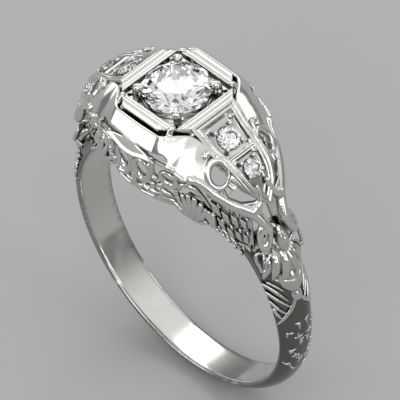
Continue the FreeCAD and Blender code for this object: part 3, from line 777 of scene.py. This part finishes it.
def flower_field():
    field = Field((on(wall, 2.5, 0)[0], 0.1, -0.55), (on(wall, 5.3, 0)[0], 4.75, 0.65), 0.035)
    root = np.array(up([(3.72, 0.02, 0.04)])[0])
    ribs = [(2.72, 0.20), (3.02, 0.38), (3.36, 0.49), (3.72, 0.55), (4.06, 0.55), (4.36, 0.49),
            (4.52, 0.38)]
    for x, t in ribs:
        tip = np.array(up([(x, t, 0.10)])[0])
        middle = root * 0.45 + tip * 0.55 + (0, 0, 0.16)
        field.wire([root, middle, tip], [0.14, 0.22, 0.17], 0.02)
    field.wire(up([(3.15, 0.0, 0.06), (3.72, -0.02, 0.12), (4.30, 0.06, 0.06)]), 0.17)
    field.wire(up([(3.22, 0.60, 0.02), (3.45, 0.74, 0.05), (3.90, 0.82, 0.08),
                   (4.36, 0.84, 0.06), (4.66, 0.72, 0.04), (4.84, 0.56, 0.0)]),
               [0.12, 0.15, 0.16, 0.16, 0.14, 0.10])
    field.wire(up([(3.98, 0.84, 0.0), (4.05, 1.04, -0.05)]), 0.15)
    for shift in (-0.22, 0.0, 0.22):
        field.wire(up([(4.74 + shift, 0.40, 0.06), (4.76 + shift * 0.7, 0.26, 0.14),
                       (4.74 + shift * 0.3, 0.06, 0.04)]), [0.14, 0.17, 0.10], 0.02)
    sheet = polygon([point[:2] for point in up([(2.6, 0.0), (5.1, 0.0), (5.1, 0.40),
                                                (4.4, 0.50), (3.6, 0.50), (2.8, 0.22)])])
    field.add(lambda u, v, w: most(sheet(u, v) + 0 * w, w + 0.10, -0.34 - w),
              (field.axes[0][0], 0.3, -0.4), (field.axes[0][-1], 4.7, 0.0))
    return field


copies("gallery_flower", *curved(wall, *surface(flower_field())), QUARTERS, filigree_gold)


PADS = [(5.22, 0.60, 0.40), (5.74, 0.56, 0.36), (6.24, 0.66, 0.32), (6.70, 0.74, 0.28),
        (5.28, 0.28, 0.34), (5.80, 0.24, 0.32), (6.28, 0.36, 0.30), (6.72, 0.46, 0.26)]
STUDS = [(4.95, 0.80), (5.50, 0.76), (6.02, 0.84), (6.50, 0.90), (6.92, 0.90), (4.98, 0.42),
         (5.50, 0.42), (6.02, 0.46), (6.50, 0.56), (6.90, 0.62), (5.02, 0.12), (5.56, 0.09),
         (6.06, 0.12), (6.54, 0.20), (6.92, 0.32)]


def trellis_field():
    start, end = on(wall, 4.8, 0)[0], on(wall, 7.2, 0)[0]
    field = Field((start - 0.2, -0.2, -0.6), (end + 0.1, 4.9, 0.5), 0.035)
    sheet = polygon([point[:2] for point in up([(4.9, 0.04), (7.1, 0.10), (7.1, 0.98),
                                                (6.0, 1.0), (4.95, 1.0)])])
    field.everywhere(lambda u, v, w: most(sheet(u, v) + 0 * w, w + 0.22, -0.42 - w))
    for x, t, size in PADS:
        u, v, _ = up([(x, t)])[0]

        def cushion(a, b, c):
            side = smooth_max(np.abs(a - u) - 0.82 * size, np.abs(b - v) - 1.15 * size, 0.06)
            return smooth_max(side, np.abs(c + 0.20) - 0.62 * size, 0.08)
        field.add(cushion, (u - size, v - 1.3 * size, -0.6), (u + size, v + 1.3 * size, 0.2), 0.02)
    for x, t in STUDS:
        u, v, _ = up([(x, t)])[0]
        field.ball((u, v, -0.06), 0.15, 0.03)
    return field


copies("trellis", *curved(wall, *surface(trellis_field())), QUARTERS, filigree_gold)


def rim_bead_field():
    field = Field((on(wall, 3.3, 0)[0], 3.0, -0.5), (on(wall, 6.6, 0)[0], 4.95, 0.45), 0.03)
    for x in np.arange(3.5, 6.45, 0.36):
        u, v, _ = on(wall, x, 1.0)
        field.ball((u, v - 0.30, 0.06), 0.14, 0.0)
    return field


copies("rim_beads", *curved(wall, *surface(rim_bead_field())), QUARTERS, bead_gold)


# ---- shoulder trays

TRAY_LINE = [(3.02, 14.05), (3.60, 13.64), (4.31, 13.04), (5.54, 12.38), (6.30, 11.78),
             (6.90, 10.87), (7.40, 9.84)]
tray_z = smooth_through([p[0] for p in TRAY_LINE], [p[1] for p in TRAY_LINE])


def tray_edge(shift):
    def curve(x):
        return np.stack([x, np.full_like(x, -shift), tray_z(x)], 1)
    return curve


tray_chart = Chart(tray_edge(0.0), tray_edge(1.0), 2.9, 7.6)
tray_chart.u -= np.interp(3.02, tray_chart.along, tray_chart.u)
ACCENTS = {"upper": (4.31, 1.50), "lower": (6.20, 1.22)}  # station and diameter of each seat


def tray_field():
    width_x = [3.02, 3.70, 4.40, 5.54, 6.30, 6.90, 7.42]
    width_u = [on(tray_chart, x, 0)[0] for x in width_x]
    width = smooth_through(width_u, [1.74, 1.67, 1.60, 1.44, 1.30, 1.02, 0.24])
    divider = on(tray_chart, 5.42, 0)[0]
    length = width_u[-1]
    field = Field((-0.05, 0, -1.0), (length + 0.1, 1.95, 0.25), 0.035)

    def block(u, v, w):
        inward = (width(u) - v) * 0.93
        border = np.minimum(inward, u + 0.05)
        top = -0.07 * np.exp(-((border - 0.24) / 0.035) ** 2)
        top = top - 0.26 / (1 + np.exp(-(border - 0.50) / 0.022))
        bar = np.abs(u - divider)
        ridge = -0.06 - 0.07 * np.exp(-(bar / 0.03) ** 2)
        inside = 1 / (1 + np.exp(-(0.17 - bar) / 0.015))
        top = np.where(border > 0.40, np.maximum(top, ridge * inside - 0.3 * (1 - inside)), top)
        groove = 0.05 * np.exp(-((w + 0.34) / 0.04) ** 2)
        return most(w - top, -0.92 - w, v - width(u) + groove, -u)
    field.everywhere(block)
    for x, diameter in ACCENTS.values():
        u = on(tray_chart, x, 0)[0]
        field.cut(lambda a, b, c: np.hypot(a - u, b) - diameter / 2 - 0.01
                  + 0.9 * np.maximum(-0.16 - c, 0), (u - 0.9, 0, -1), (u + 0.9, 0.9, 0.25), 0.02)
        for spot_u, spot_v in ((0.62, 0.62), (-0.62, 0.62)):
            at = (u + spot_u * diameter, spot_v * diameter, -0.28)
            field.ball(at, 0.20, 0.10)
    return field


tray = curved(tray_chart, *surface(tray_field().mirror(1)))
copies("shoulder_tray", *tray, ("right", "left"), tray_gold, "head_gold")


def tray_bead_field():
    field = Field((-0.05, 0, -0.5), (5.6, 1.4, 0.35), 0.03)
    for x, diameter in ACCENTS.values():
        u = on(tray_chart, x, 0)[0]
        for spot in (0.40, -0.40):
            field.ball((u + spot * diameter, abs(spot) * diameter, -0.06), 0.15, 0.0)
    return field


copies("tray_beads", *curved(tray_chart, *surface(tray_bead_field().mirror(1))),
       ("right", "left"), bead_gold)


# ---- stone box and prongs

def box_field():
    field = Field((0, 0, 12.92), (3.6, 3.7, 14.3), 0.03)

    def block(x, y, z):
        chamfer = (x + y * 1.1 - 4.86) / 1.487
        outline = smooth_max(np.maximum(x - 3.0, y - 3.1), chamfer, 0.03)
        reach = np.maximum(x, y)
        top = 14.05 - 0.32 / (1 + np.exp((reach - 2.27) / 0.022))
        for place, occlusion_shade in ((2.45, 0.05), (2.76, 0.06)):
            top = top - occlusion_shade * np.exp(-((reach - place) / 0.065) ** 2)
        well = 2.19 - np.hypot(x, y)
        body = smooth_max(z - top, outline, 0.07)
        flange = np.maximum(z - 13.22, outline - 0.36)
        return most(np.minimum(body, flange), 13.0 - z, well)
    field.everywhere(block)
    field.rod((2.00, 2.00, 14.3), (2.00, 2.00, 13.45), 0.15, 0.10, 0.04, remove=True)
    return field


copies("stone_box", *surface(box_field().mirror(0).mirror(1)), ("",), head_gold)


def prong_field():
    field = Field((1.1, 1.1, 13.6), (2.3, 2.3, 14.8), 0.025)
    field.rod((1.80, 1.80, 13.70), (1.70, 1.70, 14.20), 0.17, 0.24)
    field.ball((1.64, 1.64, 14.28), 0.29)
    field.ball((1.47, 1.47, 14.40), 0.16, 0.10)
    field.rod((1.86, 1.52, 14.66), (1.52, 1.86, 14.66), 0.07, blend=0.04, remove=True)
    field.ball((2.02, 1.50, 14.06), 0.14, 0.04)
    return field


points, faces = surface(prong_field())
groups = [(points * (a, b, 1), faces if a * b > 0 else faces[:, ::-1])
          for a in (1, -1) for b in (1, -1)]
points = np.concatenate([group[0] for group in groups])
faces = np.concatenate([group[1] + k * len(group[0]) for k, group in enumerate(groups)])
copies("corner_prongs", points, faces, ("",), bead_gold)


# ---- shank

BAND_RADIUS = 9.4  # where degrees round the band are turned into millimetres
STATIONS = [43, 49, 56, 64, 74, 90, 115, 145, 180]  # degrees from the top
half_width = smooth_through(STATIONS, [1.68, 1.55, 1.50, 1.47, 1.43, 1.32, 1.22, 1.17, 1.15])
edge_radius = smooth_through(STATIONS, [8.92, 9.05, 8.98, 8.86, 8.76, 8.71, 8.70, 8.70, 8.70])
crest_radius = smooth_through(STATIONS, [9.10, 9.75, 9.90, 9.70, 9.52, 9.42, 9.38, 9.35, 9.35])

RIDGES = [((61.5, 1.02), (65.5, 0.62)), ((62.5, 1.30), (68.0, 0.74)),
          ((62.5, 1.52), (68.0, 1.06), (73.0, 0.62)), ((66.5, 1.50), (71.0, 1.14), (76.5, 0.52)),
          ((71.0, 1.46), (75.0, 1.22), (78.6, 0.86)), ((75.0, 1.40), (78.0, 1.28), (80.5, 1.14)),
          ((71.5, 0.06), (76.0, 0.44), (80.0, 0.98), (83.0, 1.34))]
SPARKS = []
for row in range(9):
    centre_angle = 85.0 + 3.3 * row + rng.uniform(-0.8, 0.8)
    centre_y = (0.22, 0.86, 0.50)[row % 3] + rng.uniform(-0.10, 0.10)
    for _ in range(3):
        turn, reach = rng.uniform(0, 6.28), rng.uniform(0.22, 0.42)
        shift = rng.uniform(-0.14, 0.14, 2)
        along = math.degrees(reach * math.cos(turn) / BAND_RADIUS)
        start_y = centre_y + shift[1]
        SPARKS.append(((centre_angle + 6 * shift[0], start_y),
                       (centre_angle + 6 * shift[0] + along,
                        min(max(start_y + reach * math.sin(turn), 0.05), 1.12))))


def band_radius(angle, y):
    """Radius of the plain outer face of the shank."""
    share = min(abs(y) / float(half_width(angle)), 1.0)
    edge = float(edge_radius(angle))
    return edge + (float(crest_radius(angle)) - edge) * (1 - share ** 2.2)


def near_path(s, y, line):
    """Distance from points to a line of (angle, y) stations, s in millimetres."""
    best = np.full(s.shape, 9.0)
    for (angle_a, y_a), (angle_b, y_b) in zip(line, line[1:]):
        a, b = math.radians(angle_a) * BAND_RADIUS, math.radians(angle_b) * BAND_RADIUS
        run_s, run_y = b - a, y_b - y_a
        along = np.clip(((s - a) * run_s + (y - y_a) * run_y) / (run_s ** 2 + run_y ** 2), 0, 1)
        best = np.minimum(best, np.hypot(s - a - along * run_s, y - y_a - along * run_y))
    return best


def panel_depth(angle, y):
    """Depth of the engraved V panels, the same on all four quarters."""
    away = near_path(np.radians(angle) * BAND_RADIUS + 0 * y, np.abs(y), [(64, 1.32), (77, 1.0)])
    return 0.13 / (1 + np.exp((away - 0.55) / 0.05))


def shank_points():
    angles = np.linspace(43, 317, 980)
    fold = np.minimum(angles, 360 - angles)[:, None]
    across = np.sin(np.linspace(-1, 1, 74) * math.pi / 2 * 0.96) / math.sin(math.pi / 2 * 0.96)
    width, edge, crest = half_width(fold), edge_radius(fold), crest_radius(fold)
    y_out = across * width
    r_out = edge + (crest - edge) * (1 - np.abs(across) ** 2.2)
    r_out = r_out - 0.06 * np.abs(across) ** 24
    r_out = r_out - panel_depth(fold, y_out) * np.clip((1 - np.abs(across)) / 0.03, 0, 1)
    inner = np.linspace(1, -1, 22)
    y_in = inner * width * (1 - 0.03 * np.abs(inner) ** 12)
    r_in = FINGER + 0.07 * np.abs(inner) ** 14 + 0 * width
    y, radius = np.concatenate([y_out, y_in], 1), np.concatenate([r_out, r_in], 1)
    turn = np.radians(angles)[:, None]
    points = np.stack([radius * np.sin(turn), y, radius * np.cos(turn)], 2)
    rows, columns = y.shape
    index = np.arange(rows * columns).reshape(rows, columns)
    ahead = np.roll(index, -1, 1)
    faces = np.stack([index[:-1], ahead[:-1], ahead[1:], index[1:]], 2).reshape(-1, 4)
    caps = []
    for row, flip in ((index[0], True), (index[-1], False)):
        k = np.arange(columns // 2 - 1)
        quad = np.stack([row[k], row[k + 1], row[columns - 2 - k], row[columns - 1 - k]], 1)
        caps.append(quad[:, ::-1] if flip else quad)
    return points.reshape(-1, 3), np.concatenate([faces] + caps)


copies("shank", *shank_points(), ("",), band_gold)


# ---- shoulder leaf, bud, loops

class Shoulder:
    """Chart wrapped round the finger: u along the shank, v towards the front, w outward."""
    radius, start = 9.6, 50.0

    def flat(self, angle, y, radius):
        return (math.radians(angle - self.start) * self.radius, -y, radius - self.radius)

    def place(self, flat):
        u, v, w = flat.T
        turn = math.radians(self.start) + u / self.radius
        radius = self.radius + w
        return np.stack([radius * np.sin(turn), -v, radius * np.cos(turn)], 1)


shoulder = Shoulder()


def lay(stations):
    return [shoulder.flat(*station) for station in stations]


def bent_shoulder(field):
    points, faces = surface(field)
    return shoulder.place(points), faces[:, ::-1]


def shoulder_leaf_field():
    field = Field((-1.2, 0, -0.95), (10.4, 1.75, 1.1), 0.035)
    field.wire(lay([(43.4, 0, 9.3), (47.0, 0, 9.7), (51.5, 0, 9.85), (57, 0, 9.75)]),
               [0.80, 0.74, 0.66, 0.60], 0.10)
    field.wire(lay([(50.0, -0.56, 9.34), (54.0, -0.66, 9.40), (58.5, -0.72, 9.30)]),
               [0.38, 0.46, 0.42], 0.08)
    flutes = [([(48.0, -0.50, 9.40), (53.4, -0.92, 9.66), (57.0, -1.20, 9.54),
                (59.6, -1.46, 9.20)], [0.16, 0.30, 0.26, 0.10]),
              ([(47.0, -0.26, 9.60), (54.0, -0.60, 9.98), (58.4, -0.84, 9.80),
                (61.6, -1.06, 9.44)], [0.18, 0.34, 0.30, 0.10]),
              ([(46.5, -0.04, 9.70), (54.8, -0.14, 10.20), (58.6, -0.26, 10.10),
                (62.0, -0.50, 9.9)], [0.20, 0.36, 0.34, 0.2])]
    for stations, sizes in flutes:
        field.wire(lay(stations), sizes, 0.04)
    field.ball(lay([(62.8, 0, 9.40)])[0], 0.80, 0.02, (1.65, 1.02, 1.0))
    field.wire(lay([(64.6, 0.0, 10.20), (64.0, -0.34, 10.12), (63.0, -0.74, 9.84)]), 0.06, 0.03,
               remove=True)
    field.ball(lay([(71.6, 0, 9.50)])[0], 0.34, 0.06, (1.5, 1.1, 0.9))
    for line in RIDGES:
        spots = [(angle, -y, band_radius(angle, y) - 0.03) for angle, y in line]
        field.wire(lay(spots), [0.10] + [0.13] * (len(spots) - 2) + [0.05], 0.02)
    for line in SPARKS:
        field.wire(lay([(angle, -y, band_radius(angle, y)) for angle, y in line]),
                   [0.085, 0.03], 0.01)
    return field.mirror(1)


copies("shoulder_leaf", *bent_shoulder(shoulder_leaf_field()), ("right", "left"),
       shoulder_gold)


def bud_field():
    field = Field((-1.2, 0, -0.5), (0.9, 0.7, 2.0), 0.03)
    field.wire(lay([(45.4, -0.02, 11.16), (48.0, -0.12, 10.98), (50.6, -0.12, 10.74),
                    (53.0, -0.04, 10.45)]), [0.16, 0.22, 0.26, 0.18], 0.02)
    field.rod(lay([(49.5, 0, 9.5)])[0], lay([(49.5, 0, 10.8)])[0], 0.34, 0.28, 0.1)
    return field.mirror(1)


copies("shoulder_bud", *bent_shoulder(bud_field()), ("right", "left"), shoulder_gold)


def loop_field():
    field = Field((-0.7, 0.2, -0.5), (1.9, 2.3, 1.0), 0.03)
    field.wire(lay([(52.0, -0.74, 10.12), (50.4, -1.16, 10.16), (49.4, -1.56, 10.06),
                    (51.0, -1.72, 9.90), (53.8, -1.70, 9.80), (56.2, -1.62, 9.70),
                    (56.6, -1.44, 9.74), (55.0, -1.34, 9.86), (53.4, -1.16, 10.02),
                    (52.0, -0.78, 10.12)]), 0.10, 0.03)
    field.rod(lay([(52.0, -0.76, 10.12)])[0], lay([(52.6, -0.60, 9.6)])[0], 0.10, 0.14)
    field.rod(lay([(56.4, -1.5, 9.72)])[0], lay([(57.0, -1.36, 9.2)])[0], 0.10, 0.16)
    return field


copies("side_loop", *bent_shoulder(loop_field()), QUARTERS, shoulder_gold)


# ---- carried-over nodes

repaint("seat_collet", hidden_gold)


# ---- diamonds

def brilliant(diameter):
    """Round brilliant, girdle centred on the origin and table up: 57 facets as triangles."""
    radius, half_girdle = diameter / 2, diameter * 0.012
    crown, pavilion = math.tan(math.radians(34.0)), math.tan(math.radians(40.9))
    table = radius * 0.57
    inset = math.cos(math.pi / 8)
    star = table * inset + 0.52 * (radius - table * inset)
    lower = radius * 0.24

    def around(distance, height, turns):
        return [(distance * math.cos(math.pi * k / 8), distance * math.sin(math.pi * k / 8),
                 height) for k in turns]
    even, odd = range(0, 16, 2), range(1, 16, 2)
    points = around(table, half_girdle + (radius - table) * crown, even)
    points += around(star, half_girdle + (radius - star * inset) * crown, odd)
    points += around(radius, half_girdle, range(16)) + around(radius, -half_girdle, range(16))
    points += around(lower, -half_girdle - (radius - lower * inset) * pavilion, odd)
    points.append((0, 0, -half_girdle - radius * pavilion))
    faces = [(0, k, k + 1) for k in range(1, 7)]
    for k in range(8):
        after, before = (k + 1) % 8, (k - 1) % 8
        upper, under = 16 + 2 * k, 32 + 2 * k
        upper_after, under_after = 16 + 2 * after, 32 + 2 * after
        faces += [(k, 8 + k, after), (k, 8 + before, upper), (k, upper, 8 + k),
                  (8 + k, upper, upper + 1), (8 + k, upper + 1, upper_after),
                  (48 + k, under + 1, under), (48 + k, under_after, under + 1),
                  (56, 48 + k, under), (56, under, 48 + before)]
    for k in range(16):
        after = (k + 1) % 16
        faces += [(16 + k, 32 + k, 32 + after), (16 + k, 32 + after, 16 + after)]
    return np.array(points), np.array(faces)


def set_stone(node, diameter, centre, tilt, spin):
    """Brilliant at its seat, tilted towards +X by a number of degrees."""
    points, faces = brilliant(diameter)
    turn = (Matrix.Rotation(math.radians(tilt), 3, "Y")
            @ Matrix.Rotation(math.radians(spin), 3, "Z"))
    piece(f"{node}_cut", points @ np.array(turn).T + centre, faces, clear_diamond, "diamond",
          [node], smooth=False)


set_stone("centre_diamond", 4.27, (0, 0, 14.17), 0, 11)
for side, name in ((1, "right"), (-1, "left")):
    set_stone(f"accent_diamond_upper_{name}", 1.50, (side * 4.31, 0, 12.88), side * 33, 20)
    set_stone(f"accent_diamond_lower_{name}", 1.18, (side * 6.20, 0, 11.72), side * 42, 5)


# ---- floor, light and camera

LIGHT_DISTANCE = 0.4
FLOOR_SIDE = 4.0
floor_material, _, _, shader = new_material("floor")
shader.inputs["Base Color"].default_value = (0.38, 0.38, 0.38, 1)
shader.inputs["Roughness"].default_value = 0.7
ground = cad_low.z - 0.02 * MM
half = FLOOR_SIDE / 2
mesh = bpy.data.meshes.new("floor")
mesh.from_pydata([(-half, -half, ground), (half, -half, ground), (half, half, ground),
                  (-half, half, ground)], [], [(0, 1, 2, 3)])
mesh.materials.append(floor_material)
ground_sheet = bpy.data.objects.new("floor", mesh)
bpy.context.scene.collection.objects.link(ground_sheet)


def soft_light(name, towards, size, radiance):
    """Soft box at LIGHT_DISTANCE, given by its direction, sides in metres and radiance."""
    lamp = bpy.data.lights.new(name, "AREA")
    lamp.shape, lamp.size, lamp.size_y = "RECTANGLE", size[0], size[1]
    lamp.energy = radiance * math.pi * size[0] * size[1]
    thing = bpy.data.objects.new(name, lamp)
    thing.location = Vector(towards).normalized() * LIGHT_DISTANCE
    thing.rotation_mode = "QUATERNION"
    thing.rotation_quaternion = (-thing.location).to_track_quat("-Z", "Y")
    bpy.context.scene.collection.objects.link(thing)


soft_light("top", (-0.50, 0.42, 0.76), (0.26, 0.20), 1.6)
soft_light("camera_side", (0.40, -0.66, 0.60), (0.20, 0.26), 1.9)
soft_light("front", (-0.50, -0.80, 0.25), (0.20, 0.16), 2.6)
soft_light("scroll_side", (0.84, -0.34, 0.46), (0.16, 0.16), 1.5)
soft_light("right", (0.90, 0.15, 0.35), (0.12, 0.24), 2.4)
soft_light("back", (0.10, 0.92, 0.30), (0.26, 0.12), 2.2)
soft_light("left", (-0.92, 0.10, 0.25), (0.12, 0.22), 2.0)

world = bpy.data.worlds.new("studio")
bpy.context.scene.world = world
world.use_nodes = True
sky, ties = world.node_tree.nodes, world.node_tree.links
direction = sky.new("ShaderNodeTexCoord")
parts = sky.new("ShaderNodeSeparateXYZ")
ties.new(direction.outputs["Generated"], parts.inputs[0])
rise = sky.new("ShaderNodeMapRange")
rise.interpolation_type = "SMOOTHSTEP"
for socket, value in zip(("From Min", "From Max", "To Min", "To Max"), (0.25, 0.85, 0.24, 0.95)):
    rise.inputs[socket].default_value = value
ties.new(parts.outputs["Z"], rise.inputs["Value"])
ties.new(rise.outputs["Result"], sky["Background"].inputs["Strength"])
sky["Background"].inputs["Color"].default_value = (0.98, 0.99, 1.0, 1)
bpy.context.scene.view_settings.view_transform = "Standard"

camera = bpy.data.objects.new("camera", bpy.data.cameras.new("camera"))
bpy.context.scene.collection.objects.link(camera)
back = Vector((0.532, -0.445, 0.720)).normalized()
upward = Vector((-0.486, 0.536, 0.690)).normalized()
upward = (upward - back * upward.dot(back)).normalized()
right = upward.cross(back)
aim = Vector((-1.28, 1.96, 2.16)) * MM
VIEW_WIDTH = 23.84  # what the camera sees at the ring
camera.data.lens, camera.data.sensor_width = 1200, 36
distance = VIEW_WIDTH * MM * camera.data.lens / camera.data.sensor_width
turn = Matrix((right, upward, back)).transposed().to_4x4()
camera.matrix_world = Matrix.Translation(aim + back * distance) @ turn
camera.data.clip_start, camera.data.clip_end = 0.005, 10
bpy.context.scene.camera = camera
